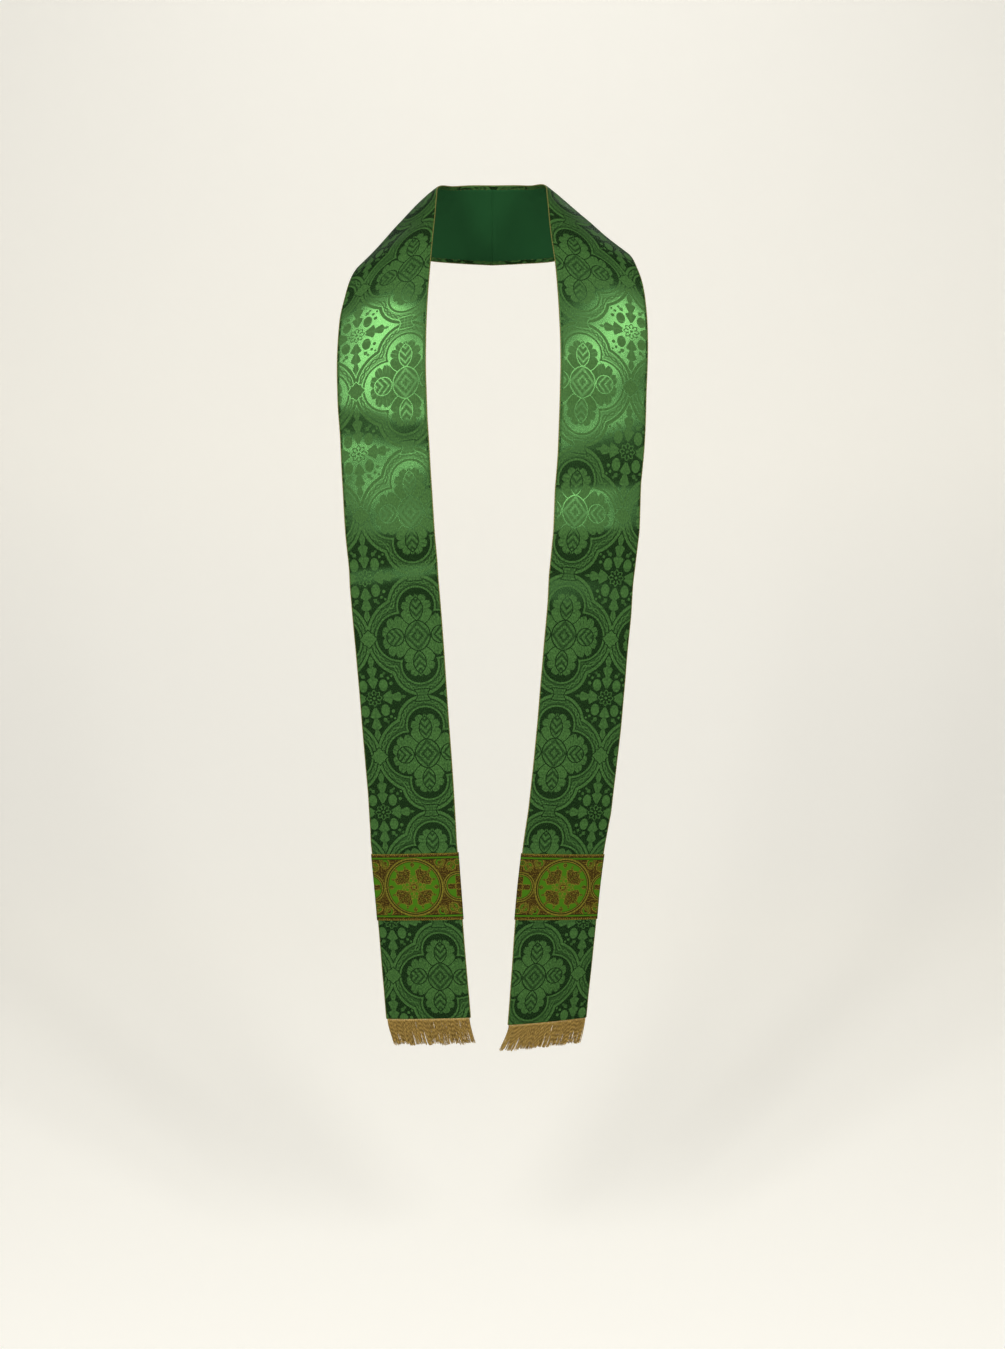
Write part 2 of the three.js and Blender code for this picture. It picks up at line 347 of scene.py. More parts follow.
class Field:
    """A number that varies over a surface, worked out by math nodes of one material."""

    def __init__(self, tree, socket):
        self.tree = tree
        self.socket = socket

    def math(self, operation, *others, clamp=False):
        node = self.tree.nodes.new("ShaderNodeMath")
        node.operation = operation
        node.use_clamp = clamp
        for slot, value in zip(node.inputs, (self, *others)):
            if isinstance(value, Field):
                self.tree.links.new(value.socket, slot)
            else:
                slot.default_value = value
        return Field(self.tree, node.outputs[0])

    def __add__(self, other):
        return self.math("ADD", other)

    def __sub__(self, other):
        return self.math("SUBTRACT", other)

    def __rsub__(self, other):
        return self.math("MULTIPLY_ADD", -1, other)

    def __mul__(self, other):
        return self.math("MULTIPLY", other)

    def __abs__(self):
        return self.math("ABSOLUTE")

    def scaled(self, factor, offset):
        return self.math("MULTIPLY_ADD", factor, offset)

    def ramp(self, factor, offset):
        """Scaled, and kept between 0 and 1."""
        return self.math("MULTIPLY_ADD", factor, offset, clamp=True)

    def least(self, other):
        return self.math("MINIMUM", other)

    def most(self, other):
        return self.math("MAXIMUM", other)

    def sine(self):
        return self.math("SINE")

    def folded(self, reach):
        """Mirrored back and forth between 0 and reach."""
        return self.math("PINGPONG", reach)

    def inside(self):
        """1 where this distance is negative and 0 where it is positive, with a soft edge."""
        return self.ramp(-0.5 / SOFT_EDGE, 0.5)

    def stroke(self, half_width):
        """1 on a line of the given half width where this distance is 0."""
        return (abs(self) - half_width).inside()


def hypotenuse(x, y):
    return (x * x + y * y).math("SQRT")


def spot(x, y, at_x, at_y):
    """The distance from a point."""
    return hypotenuse(x - at_x, y - at_y)


def circle(x, y, shape):
    """The distance outside a circle, given by its centre and radius."""
    at_x, at_y, radius = shape
    return spot(x, y, at_x, at_y) - radius


# How a leaf is drawn: the powers of its belly from the root and from the tip, how its lobes deepen, how far
# they lean forward, the small teeth round them, and how much of it the veins leave.
LEAF_BELLY = (0.4, 0.75)
LOBE_SHARES = (2.6, 0.75)
LOBE_LEAN = 0.05
TEETH_DEPTH = 0.7
LEAF_PLAIN = 0.45


def leaf(x, y, root, tip, width, teeth):
    """A lobed leaf from root to tip, with its midrib and the veins between its lobes left as ground."""
    run_x, run_y = tip[0] - root[0], tip[1] - root[1]
    length = math.hypot(run_x, run_y)
    run_x, run_y = run_x / length, run_y / length
    start = (root[0] * run_x + root[1] * run_y) / length
    side = root[1] * run_x - root[0] * run_y
    along = y.scaled(run_y / length, x.scaled(run_x / length, -start))
    off = abs(y.scaled(run_x, x.scaled(-run_y, -side)))
    belly = along.math("POWER", LEAF_BELLY[0]) * (1 - along).math("POWER", LEAF_BELLY[1])
    lobe = off.scaled(-LOBE_LEAN, along * teeth).folded(0.5)
    half_width = belly * lobe.scaled(LOBE_SHARES[0] * width, LOBE_SHARES[1] * width)
    nibble = (off * 0.8 + along * (length * 0.45)).folded(1) * TEETH_DEPTH
    blade = (off - half_width + nibble).inside()
    veins = lobe.ramp(14, -0.2)
    rib = off.ramp(2.4, -0.6)
    barbs = nibble.ramp(2.4, 0.3)
    return blade * (veins * rib * barbs).scaled(1 - LEAF_PLAIN, LEAF_PLAIN)


# How a mass of leaves is drawn: the depth of its small teeth, how its notches round off, and how much of it
# the veins leave.
RIM_TEETH = 1.1
NOTCH_POWER = 5
NOTCH_SLOPE = 1.5
FOLIAGE_PLAIN = 0.25


def foliage(x, y, at, half, lobes, depth):
    """A mass of pointed leaves about a middle, notched round its rim, with a vein to each point."""
    across = (x - at[0]) * (1 / half[0])
    up = (y - at[1]) * (1 / half[1])
    reach = hypotenuse(across, up)
    turn = up.math("ARCTAN2", across) * (lobes / math.pi)
    point = turn.folded(1)
    gap = 1 - point
    notch = gap.math("POWER", NOTCH_POWER) * depth + gap * NOTCH_SLOPE
    nibble = (turn * 4).folded(1) * RIM_TEETH
    rim = (reach.scaled(half[0], -half[0]) + notch + nibble).inside()
    vein = gap.ramp(11, -0.5)
    cleft = point.ramp(9, -0.3)
    barbs = nibble.ramp(2.2, 0.25)
    near = reach.ramp(-6, 3.6)
    return rim * (vein * cleft * barbs).most(near).scaled(1 - FOLIAGE_PLAIN, FOLIAGE_PLAIN)


def new_material(name, **values):
    """A material with its shader, whose constant values are set on its own sockets."""
    material = bpy.data.materials.new(name)
    material.use_nodes = True
    tree = material.node_tree
    shader = tree.nodes["Principled BSDF"]
    for key, value in values.items():
        shader.inputs[key].default_value = value
    return material, tree, shader


def cloth_coordinates(tree):
    """Millimetres across and along the cloth."""
    node = tree.nodes.new("ShaderNodeUVMap")
    node.uv_map = "cloth"
    split = tree.nodes.new("ShaderNodeSeparateXYZ")
    tree.links.new(node.outputs["UV"], split.inputs[0])
    return tuple(Field(tree, split.outputs[k]).math("DIVIDE", METRE) for k in (0, 1))


def mixed(tree, factor, first, second):
    """A colour between two colours, each a constant or the output of another mix."""
    node = tree.nodes.new("ShaderNodeMix")
    node.data_type = "RGBA"
    tree.links.new(factor.socket, node.inputs["Factor"])
    for slot, colour in ((node.inputs["A"], first), (node.inputs["B"], second)):
        if isinstance(colour, tuple):
            slot.default_value = (*colour, 1)
        else:
            tree.links.new(colour, slot)
    return node.outputs["Result"]


def shade(colour, share):
    return tuple(share * c for c in colour)


def clouds(tree, scale):
    """Soft noise from 0 to 1 in the object's own space, scale to the metre."""
    place = tree.nodes.new("ShaderNodeTexCoord")
    node = tree.nodes.new("ShaderNodeTexNoise")
    node.inputs["Scale"].default_value = scale
    node.inputs["Detail"].default_value = NOISE_DETAIL
    tree.links.new(place.outputs["Object"], node.inputs["Vector"])
    return Field(tree, node.outputs["Fac"])


def grain(tree, u, v):
    """Noise from 0 to 1 along the threads, from two fields that count its grains."""
    place = tree.nodes.new("ShaderNodeCombineXYZ")
    tree.links.new(u.socket, place.inputs["X"])
    tree.links.new(v.socket, place.inputs["Y"])
    node = tree.nodes.new("ShaderNodeTexNoise")
    node.inputs["Scale"].default_value = 1
    node.inputs["Detail"].default_value = NOISE_DETAIL
    tree.links.new(place.outputs["Vector"], node.inputs["Vector"])
    return Field(tree, node.outputs["Fac"])


def bumped(tree, shader, height, depth):
    """Relief from a field of heights, depth in millimetres."""
    node = tree.nodes.new("ShaderNodeBump")
    node.inputs["Distance"].default_value = depth * METRE
    tree.links.new(height.socket, node.inputs["Height"])
    tree.links.new(node.outputs["Normal"], shader.inputs["Normal"])


def threads(u, v, pitch_u, pitch_v):
    """The relief of crossing threads, from 0 to 1."""
    warp = (u * (2 * math.pi / pitch_u)).sine()
    weft = (v * (2 * math.pi / pitch_v)).sine()
    return (warp * weft).scaled(0.5, 0.5)


# The damask repeat: half its width and height.
REPEAT_X = 68.5
REPEAT_Y = 82.5

# The circles that frame the quatrefoil's lobes, inside and outside: centre and radius.
TOP_INNER = (0, 40.5, 26)
SIDE_INNER = (25, 0, 33)
TOP_OUTER = (0, 43.5, 39.5)
SIDE_OUTER = (15.2, 0, 56)
CHAIN_TURNS = 12
CHAIN_SWING = 1.9

# What fills the lobes: circles, as centre and radius, and the leaves about them, as centre and half sizes.
SIDE_LEAVES = ((29, 0), (21, 29.5))
SIDE_SHELL = (25, 0, 30.6)
TOP_LEAVES = ((0, 36), (22, 22))
TOP_SHELL = (0, 36, 22)
LEAF_POINTS = 9
LEAF_NOTCH = 4
ALMOND = (-9.9, 36.5, 18.4)
FRUIT = (31, 0, 12)
OVAL = (-3.9, 0, 20.9)
ROSETTES = [(7, 0, 5.4), (7, 0, 2.2), (0, 11.5, 3)]

# What lies between the quatrefoils: leaves as root, tip, width and teeth, and the small round berries.
OAK_LEAVES = [
    ((REPEAT_X, 71), (REPEAT_X, 18), 8.6, 3.4),
    ((59, REPEAT_Y), (23, REPEAT_Y), 10.5, 2.5),
    ((58, 54), (49, 46), 3.4, 2),
]
ACORN = (54, 65, 8.2)
ACORN_SLIMNESS = 1.35
ACORN_CUP = 69.5
BERRIES = [(43, 63, 2.3), (46.5, 55.5, 1.9), (41.5, 52.5, 1.5)]


def union(figures):
    """Where any of several figures lies."""
    whole, *others = figures
    for figure in others:
        whole = whole.most(figure)
    return whole


def without(figure, mask, share=1.0):
    """The figure with a masked place turned to ground."""
    return figure * mask.scaled(-share, 1)


def quatrefoil_frame(x, y, inner, outer):
    """Two strong lines, and a chain of two strands between them."""
    top_outer = circle(x, y, TOP_OUTER)
    on_side = circle(x, y, SIDE_OUTER).math("LESS_THAN", top_outer)
    down = y - on_side.scaled(-TOP_OUTER[1], TOP_OUTER[1])
    turn = down.math("ARCTAN2", x - on_side * SIDE_OUTER[0])
    swing = (turn * CHAIN_TURNS).sine() * CHAIN_SWING
    middle = (inner + outer).scaled(0.5, 1.0)
    chain = abs(middle - swing).least(abs(middle + swing))
    figure = chain.stroke(1.0).scaled(0.5, 0.36)
    figure = without(figure, (chain - 1.6).stroke(0.35), 0.8)
    figure = without(figure, (outer + 4.9).stroke(0.5), 0.9)
    figure = without(figure, (inner - 2.1).stroke(0.5), 0.9)
    figure = figure * outer.inside()
    return figure.most((outer + 2.1).stroke(1.9)).most(inner.stroke(1.25))


def quatrefoil_filling(x, y):
    """Leaves and fruit in the lobes, round an oval with rosettes."""
    side = foliage(x, y, *SIDE_LEAVES, LEAF_POINTS, LEAF_NOTCH)
    side = side.most(circle(x, y, SIDE_SHELL).inside() * (x - 21).inside())
    top = foliage(x, y, *TOP_LEAVES, LEAF_POINTS, LEAF_NOTCH)
    top_rim = circle(x, y, TOP_SHELL)
    top = top.most(top_rim.inside() * (y - 31).inside())
    figure = without(side, (top_rim - 1.3).inside()).most(top)

    rising = (y * 0.65 - x * 0.75).sine()
    almond = circle(x, y, ALMOND)
    in_almond = almond.inside()
    figure = without(figure, in_almond) + in_almond * rising.scaled(0.45, 0.55)
    figure = without(figure, (almond - 0.4).stroke(0.75))
    figure = without(figure, (x - 0.6).inside() * (y - 56).stroke(5))

    fruit = circle(x, y, FRUIT)
    in_fruit = fruit.inside()
    reaching = (x * 0.75 - y * 0.65).sine()
    figure = without(figure, in_fruit) + in_fruit * reaching.scaled(0.45, 0.55)
    figure = without(figure, fruit.stroke(0.75))
    figure = without(figure, (fruit + 5.5).stroke(0.35), 0.6)

    oval = circle(x, y, OVAL)
    in_oval = oval.inside()
    rings = union(circle(x, y, shape).stroke(0.4) for shape in ROSETTES)
    veins = (x * 0.7 + y * 0.6).sine().scaled(0.4, 0.58)
    figure = without(figure, in_oval) + in_oval * without(veins, rings, 0.7)
    return without(figure, (oval - 0.5).stroke(0.85))


def between_quatrefoils(x, y):
    """Oak leaves round a flower, with acorns and berries."""
    figure = union(leaf(x, y, *shape) for shape in OAK_LEAVES)
    at_x, at_y, size = ACORN
    acorn = hypotenuse((x - at_x) * ACORN_SLIMNESS, y - at_y) - size
    figure = without(figure, (acorn - 1.4).inside())
    nut = acorn.inside()
    nut = without(nut, (y - ACORN_CUP).stroke(0.45), 0.7)
    figure = union([figure, nut, *(circle(x, y, shape).inside() for shape in BERRIES)])
    petal_x = x - REPEAT_X
    petal_y = y - REPEAT_Y
    reach = hypotenuse(petal_x, petal_y)
    petals = (petal_y.math("ARCTAN2", petal_x) * 8).math("COSINE")
    figure = without(figure, (reach - petals.scaled(1.6, 12)).inside())
    ring = (reach - petals.scaled(1.4, 9.4)).stroke(0.75)
    dots = (reach - 5.6).stroke(1.3) * petals.ramp(-2.4, 0.1)
    eye = (reach - 1.9).inside()
    return figure.most(ring).most(dots).most(eye)


def damask(x, y):
    """The figure of the brocade, from 0 on its ground to 1, in a quarter of its repeat."""
    inner = circle(x, y, TOP_INNER).least(circle(x, y, SIDE_INNER))
    outer = circle(x, y, TOP_OUTER).least(circle(x, y, SIDE_OUTER))
    figure = quatrefoil_frame(x, y, inner, outer)
    within = (inner + 1.3).inside()
    figure = without(figure, within) + within * quatrefoil_filling(x, y)
    beyond = (1.4 - outer).inside()
    figure = figure.most(between_quatrefoils(x, y) * beyond)

    # The knots: a star between neighbours side by side, a belt between those above one another.
    flat_x = REPEAT_X - x
    square = flat_x.most(y) - 7.4
    turned = (flat_x + y).scaled(math.sqrt(0.5), -8.6)
    star = square.least(turned)
    figure = without(figure, (star - 1.3).inside()).most(star.inside())
    figure = without(figure, (flat_x.least(y) - 0.35).inside() * (star + 2.5).inside(), 0.5)
    rise = REPEAT_Y - y
    belt = (x - rise.scaled(0.45, 6.5)).most(rise - 8)
    figure = without(figure, (belt - 1.2).inside()).most((belt + 0.3).inside() * 0.75)
    stripes = rise.stroke(0.5).most((rise - 4).stroke(0.4)).most((x - 2.2).stroke(0.4))
    return without(figure, stripes * belt.inside(), 0.8)


# The brocade: a glossy metallic ground, and a duller figure whose threads vary from dark to light. How
# metallic and how rough it is are given for the ground and for the figure, and the grain and the pitch of the
# threads across and along.
GROUND_COLOUR = (0.040, 0.107, 0.030)
FIGURE_DARK = (0.024, 0.078, 0.012)
FIGURE_LIGHT = (0.072, 0.185, 0.042)
CLOTH_VARIETY = 0.15
BROCADE_METALLIC = (0.85, 0.06)
BROCADE_ROUGHNESS = (0.26, 0.61)
STREAKS = (0.9, 0.35)
BROCADE_PITCH = (0.9, 0.75)
BROCADE_DEPTH = 0.01
FAINT_SPECULAR = {"Specular IOR Level": 0.15}


def between(share, values):
    """A number from the first value to the second, by a field of shares."""
    return share.scaled(values[1] - values[0], values[0])


def varied(tree, scale, colour):
    """A colour that is a little darker and lighter in soft clouds."""
    dark, light = shade(colour, 1 - CLOTH_VARIETY), shade(colour, 1 + CLOTH_VARIETY)
    return mixed(tree, clouds(tree, scale), dark, light)


def brocade_material():
    material, tree, shader = new_material("brocade", **FAINT_SPECULAR)
    u, v = cloth_coordinates(tree)
    x = u.folded(REPEAT_X)
    y = v.folded(REPEAT_Y)

    # The grain breaks the figure up, and lets a few of its threads through in the ground.
    streaks = grain(tree, u * STREAKS[0], v * STREAKS[1])
    figure = damask(x, y) * streaks.scaled(1.2, 0.4)
    figure = figure.math("ADD", streaks.scaled(0.7, -0.33), clamp=True)
    glow = streaks.ramp(2.6, -0.85)
    ground = varied(tree, 9, GROUND_COLOUR)
    raised = mixed(tree, glow, FIGURE_DARK, FIGURE_LIGHT)
    tree.links.new(mixed(tree, figure, ground, raised), shader.inputs["Base Color"])
    tree.links.new(between(figure, BROCADE_METALLIC).socket, shader.inputs["Metallic"])
    tree.links.new(between(figure, BROCADE_ROUGHNESS).socket, shader.inputs["Roughness"])
    bumped(tree, shader, threads(u, v, *BROCADE_PITCH), BROCADE_DEPTH)
    return material


LINING_COLOUR = (0.020, 0.110, 0.032)
LINING_SURFACE = {"Metallic": 0.35, "Roughness": 0.38, "Specular IOR Level": 0.2}
LINING_PITCH = 1.1
LINING_DEPTH = 0.06


def lining_material():
    material, tree, shader = new_material("lining_cloth", **LINING_SURFACE)
    u, v = cloth_coordinates(tree)
    tree.links.new(varied(tree, 14, LINING_COLOUR), shader.inputs["Base Color"])
    bumped(tree, shader, threads(u, v, LINING_PITCH, LINING_PITCH), LINING_DEPTH)
    return material


# Each thread: its two colours, how metallic and rough it is, and how fine its painted glint is.
THREADS = {
    "cord_thread": ((0.05, 0.13, 0.02), (0.34, 0.24, 0.06), 0.15, 0.55, 300),
    "gold_thread": ((0.15, 0.082, 0.016), (0.76, 0.51, 0.13), 0.35, 0.42, 260),
}


def thread_material(name):
    """Twisted thread: one ply darker than the other, with uneven painted glints along it, lighter colour in
    soft clouds that stands for caught light.
    """
    dark, light, metallic, roughness, scale = THREADS[name]
    material, tree, shader = new_material(name, Metallic=metallic, Roughness=roughness)
    node = tree.nodes.new("ShaderNodeAttribute")
    node.attribute_name = "tint"
    ply = Field(tree, node.outputs["Fac"])
    # Painted glints: soft clouds of lighter colour in place of light caught on the twist.
    glint = clouds(tree, scale).scaled(1.4, -0.2)
    factor = (ply * 0.6 + glint * 0.4).math("MULTIPLY", 1, clamp=True)
    tree.links.new(mixed(tree, factor, dark, light), shader.inputs["Base Color"])
    return material


# The galloon's drawing: its roundels and where they lie across the band, the scrolls and sprigs between
# them, and the lines along its edges.
ROUNDEL_ACROSS = 66
BIG_ROUNDEL = 41.4
SMALL_ROUNDEL = 21
ROUNDEL_PITCH = 64
SCROLLS = [(55, 30, 6.5), (39, 35, 6.5), (64, 35, 4)]
SPRIGS = [((37, 26), (47, 41), 6, 2.2), ((49, 24), (60, 36), 5, 2.2)]
BORDER_LINES = [(8.2, "dark"), (7.4, "green"), (5, "dark"), (4.4, "brown")]
BORDER_EDGE = 0.9

# The crosses in the small roundels: half the width of an arm, its reach, and the disc at the middle.
ARM_WIDTH = 3.4
ARM_REACH = 15.4
ARM_DISC = 4.6

# The rosette, in an eighth of its round: leaves as root, tip, width and teeth, and loops as centre, radius
# and half the width of their line.
PETALS = [((5, 5), (27, 27), 8.5, 1.4), ((9, 7), (33, 12), 6.4, 1.4), ((37, 0), (26, 0), 3.4, 1.4)]
PETAL_OUTLINE = 1.3
LOOPS = [(9.5, 3.6, 3, 0.65), (14.5, 3, 2.2, 0.5)]

GALLOON_COLOURS = {
    "green": (0.065, 0.205, 0.006),
    "gold": (0.155, 0.134, 0.013),
    "olive": (0.070, 0.062, 0.005),
    "brown": (0.044, 0.025, 0.003),
    "dark": (0.008, 0.008, 0.002),
    "rust": (0.070, 0.026, 0.003),
    # glint is a painted highlight: the colour of light caught by the gold threads.
    "glint": (0.60, 0.46, 0.05),
}


def roundel(reach, radius, width):
    """The layers of a ring of two gold lines between dark ones, round a green field."""
    return [
        ((reach - radius - width).inside(), "dark"),
        ((reach - radius).stroke(width - 0.4), "gold"),
        ((reach - radius + 1.5 * width + 0.9).stroke(0.75), "gold"),
        ((reach - radius + 1.5 * width + 2.4).inside(), "green"),
    ]


def galloon_layers(x, y):
    """Masks and colours from the bottom layer up. x and y are from the middle of the big roundel."""
    x = abs(x)
    y = abs(y)
    from_edge = TRIM_HEIGHT / 2 - y
    layers = []
    for at_x, at_y, radius in SCROLLS:
        scroll = spot(x, y, at_x, at_y)
        layers += [((scroll - radius - 0.6).inside(), "dark"), ((scroll - radius).stroke(0.8), "gold")]
        layers += [((scroll - radius + 1.4).inside(), "green"), ((scroll - 0.45 * radius).inside(), "brown")]
    sprig = union(leaf(x, y, *shape) for shape in SPRIGS)
    layers += [(sprig, "gold"), (sprig.ramp(2, -1.1), "olive")]
    layers += [((from_edge - width).inside(), tone) for width, tone in BORDER_LINES]

    small = spot(x, y, ROUNDEL_PITCH, 0)
    layers += roundel(small, SMALL_ROUNDEL, 1.3)
    arm = abs(x - ROUNDEL_PITCH).least(y) - ARM_WIDTH
    hub = (small - ARM_REACH).inside()
    layers += [((arm - 0.7).inside() * hub, "gold"), (arm.inside() * hub, "brown")]
    layers += [((small - ARM_DISC).stroke(0.7), "gold"), ((small - ARM_DISC + 0.7).inside(), "brown")]

    reach = hypotenuse(x, y)
    layers += roundel(reach, BIG_ROUNDEL, 1.7)
    major = x.most(y)
    minor = x.least(y)
    for widening, tone in ((PETAL_OUTLINE, "gold"), (1, "brown")):
        petals = union(
            leaf(major, minor, root, tip, width * widening, teeth) for root, tip, width, teeth in PETALS
        )
        layers += [(petals.ramp(2.2, -0.6), tone)]
    vein = ((major - minor) * 1.5).sine() * ((major + minor) * 0.8).sine()
    layers += [(petals * vein.ramp(3, -1.4), "gold")]
    loops = union(circle(major, minor, shape).stroke(line) for *shape, line in LOOPS)
    layers += [(loops, "gold"), ((reach - 6.4).inside(), "brown"), ((reach - 5.4).stroke(0.7), "gold")]
    layers += [((major - 2.6).inside(), "gold"), ((major - 1.4).inside(), "green")]
    layers += [((from_edge - BORDER_EDGE).inside(), "gold")]
    return layers


# How strongly the painted glints, bright gold specks in place of light caught by the metal threads, show in
# each tone, and how strongly the rust threads show in the brown.
GLINT_SHARES = {"brown": 0.28, "olive": 0.3, "gold": 0.35}
RUST_SHARE = 0.8
GRAIN_SHIFT = 30
GALLOON_PITCH = (1.1, 0.9)
GALLOON_DEPTH = 0.05


def galloon_material():
    material, tree, shader = new_material("galloon", Metallic=0.3, Roughness=0.42, **FAINT_SPECULAR)
    u, v = cloth_coordinates(tree)
    dull = grain(tree, u * 0.45 + GRAIN_SHIFT, v * 0.6).ramp(6, -3)
    # Painted glints: bright specks of gold mixed into the tones in place of light caught by the metal
    # threads.
    painted_glint_specks = grain(tree, u * 0.5, v * 0.65).ramp(9, -4.6)
    tones = dict(GALLOON_COLOURS)
    tones["brown"] = mixed(tree, dull * RUST_SHARE, tones["brown"], tones["rust"])
    for name, share in GLINT_SHARES.items():
        tones[name] = mixed(tree, painted_glint_specks * share, tones[name], tones["glint"])
    colour = tones["brown"]
    for mask, tone in galloon_layers(u - ROUNDEL_ACROSS, v - TRIM_HEIGHT / 2):
        colour = mixed(tree, mask, colour, tones[tone])
    tree.links.new(colour, shader.inputs["Base Color"])
    bumped(tree, shader, threads(u, v, *GALLOON_PITCH), GALLOON_DEPTH)
    return material


# Pieces

# The panel and the lining: how far in from the edge, half the depth, and the steps of the mesh.
PANEL_EDGE = 1.2
PANEL_STEP = 2.6
PANEL_STEPS_ACROSS = 48
PANEL_CORNER_STEPS = 4
LINING_MARGIN = 6.5
LINING_HALF = 0.25
LINING_STEP = 5
LINING_STEPS_ACROSS = 24
LINING_CORNER_STEPS = 2
LINING_GAP = 0.02

# The galloon: half its depth, how far it lies off the cloth, and the bend that takes it round the edge cords.
GALLOON_HALF = 0.35
GALLOON_LIFT = 0.25
WRAP_MIDDLE = 0.95
WRAP_RADIUS = 1.35
TAB_REACH = 5
TAB_STEPS = 4
WRAP_STEPS = 9
FRONT_STEPS = 62
GALLOON_STEP = 1.6


def panel(half, material):
    depth = CLOTH_THICKNESS / 2
    far_edge = BAND_WIDTH - PANEL_EDGE
    loop = rounded_loop(PANEL_EDGE, far_edge, depth, PANEL_STEPS_ACROSS, PANEL_CORNER_STEPS)
    run = rounded_run(0, half.end, depth, PANEL_STEP, PANEL_CORNER_STEPS)
    piece = cloth_object(half, f"brocade_{half.name}", material, run, loop, MID_CLOTH)
    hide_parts(f"panel_{half.name}")
    return piece


def lining(half, material):
    far_edge = BAND_WIDTH - LINING_MARGIN
    loop = rounded_loop(LINING_MARGIN, far_edge, LINING_HALF, LINING_STEPS_ACROSS, LINING_CORNER_STEPS)
    run = rounded_run(0, half.end - LINING_MARGIN, LINING_HALF, LINING_STEP, LINING_CORNER_STEPS)
    middle = -CLOTH_THICKNESS - LINING_HALF - LINING_GAP
    piece = cloth_object(half, f"lining_{half.name}", material, run, loop, middle)
    return piece


def wrapped(q):
    """Where a strip that wraps round both edge cords lies: width, lift and its outward direction."""
    arc = math.pi * WRAP_RADIUS
    mirrored = np.minimum(q, BAND_WIDTH - q)
    turn = np.clip((WRAP_MIDDLE - mirrored) / WRAP_RADIUS, 0, math.pi)
    back = np.maximum(WRAP_MIDDLE - arc - mirrored, 0)
    width = np.where(turn > 0, WRAP_MIDDLE - WRAP_RADIUS * np.sin(turn) + back, mirrored)
    lift = MID_CLOTH + WRAP_RADIUS * np.cos(turn)
    out_width = -np.sin(turn)
    far = q > BAND_WIDTH / 2
    width = np.where(far, BAND_WIDTH - width, width)
    return width, lift, np.where(far, -out_width, out_width), np.cos(turn)


def galloon(half, material):
    arc = math.pi * WRAP_RADIUS
    wrap_end = WRAP_MIDDLE - arc
    first = wrap_end - TAB_REACH
    tab = np.linspace(first, wrap_end, TAB_STEPS)
    edge = np.concatenate([tab, np.linspace(wrap_end, WRAP_MIDDLE, WRAP_STEPS)[1:]])
    front = np.linspace(WRAP_MIDDLE, BAND_WIDTH - WRAP_MIDDLE, FRONT_STEPS)[1:-1]
    q = np.concatenate([edge, front, BAND_WIDTH - edge[::-1]])
    width, lift, out_width, out_lift = wrapped(q)
    distances, shares = rounded_run(half.trim_top, half.trim_bottom, GALLOON_HALF, GALLOON_STEP, 3)
    shares = np.maximum(shares, LEAST_SHARE)[:, None]
    layers = []
    for side, order in ((1, slice(None)), (-1, slice(None, None, -1))):
        off = GALLOON_HALF * (1 + side * shares)
        layers.append((
            (width + off * out_width)[:, order],
            (lift + off * out_lift)[:, order],
            np.broadcast_to(q, (len(distances), len(q)))[:, order],
        ))
    a, lifts, along_strip = (np.concatenate(parts, axis=1) for parts in zip(*layers))
    s = np.broadcast_to(distances[:, None], a.shape)
    uv = np.stack([along_strip, s - half.trim_top], -1)
    piece = tube_object(f"galloon_band_{half.name}", half.place(s, a, lifts)[None], material, uv=uv)
    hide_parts(f"galloon_{half.name}")
    return piece


# The twist of the cords: the length of a turn, and how deep the groove between the plies is.
CORD_SIDES = 10
CORD_STEP = 0.9
CORD_TWIST = 4.4
CORD_WAIST = 0.62


def twisted(turn, phase, radius):
    """The section of two plies twisted together: its radius, and which ply it belongs to."""
    lobe = np.cos(turn - phase)
    return radius * np.maximum(np.abs(lobe), CORD_WAIST), (lobe > 0).astype(float)


def edge_cord(half, edge, width, material):
    distances = np.arange(0, half.end, CORD_STEP)
    turn = np.linspace(0, 2 * math.pi, CORD_SIDES, endpoint=False)[None, :]
    phase = 2 * math.pi * distances[:, None] / CORD_TWIST
    radius, tint = twisted(turn, phase, PIPING_DIAMETER / 2)
    a = width + radius * np.cos(turn)
    lift = MID_CLOTH + radius * np.sin(turn)
    s = np.broadcast_to(distances[:, None], a.shape)
    piece = tube_object(f"cord_{half.name}_{edge}", half.place(s, a, lift)[None], material, tint=tint)
    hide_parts(f"piping_{half.name}_{edge}")
    return piece


# The fringe: a twisted heading of two cords, and the threads below it in rows, one behind another.
HEADING_RADIUS = 0.75
HEADING_ROWS = (0.5, 1.8)
HEADING_TWIST = 3.4
HEADING_RINGS = 150
HEADING_SIDES = 8
THREAD_LENGTH = 38
THREAD_RADIUS = 0.8
THREAD_ROWS = 3
THREADS_PER_ROW = 72
ROW_DEPTH = 0.95
THREAD_RINGS = 30
THREAD_SIDES = 6
THREAD_TWIST = 6.5
THREAD_TAPER = 0.3
FRINGE_SEED = 7

# How the threads differ: ripples along the row as size, pace and turn, and what chance adds.
CLUMPS = [(0.9, 47, 0), (0.6, 113, 2)]
SWAY_SPREAD = 0.4
CURL_SPREAD = 0.3
CURL_TURNS = 2.2
SHORTENING = 3
LENGTH_RIPPLE = (1.2, 31)
ROW_SPREAD = 0.7
SWAY_CURVE = 1.5


def heading(half, material):
    widths = np.linspace(BAND_EDGE, BAND_WIDTH - BAND_EDGE, HEADING_RINGS)
    turn = np.linspace(0, 2 * math.pi, HEADING_SIDES, endpoint=False)
    tubes, tints = [], []
    for row, below in enumerate(HEADING_ROWS):
        phase = 2 * math.pi * widths[:, None] / HEADING_TWIST * (-1) ** row
        radius, tint = twisted(turn[None, :], phase, HEADING_RADIUS)
        s = half.end + below + radius * np.cos(turn)
        lift = MID_CLOTH + radius * np.sin(turn)
        tubes.append(half.place(s, np.broadcast_to(widths[:, None], s.shape), lift))
        tints.append(tint)
    piece = tube_object(f"fringe_heading_{half.name}", np.stack(tubes), material, tint=np.stack(tints))
    return piece


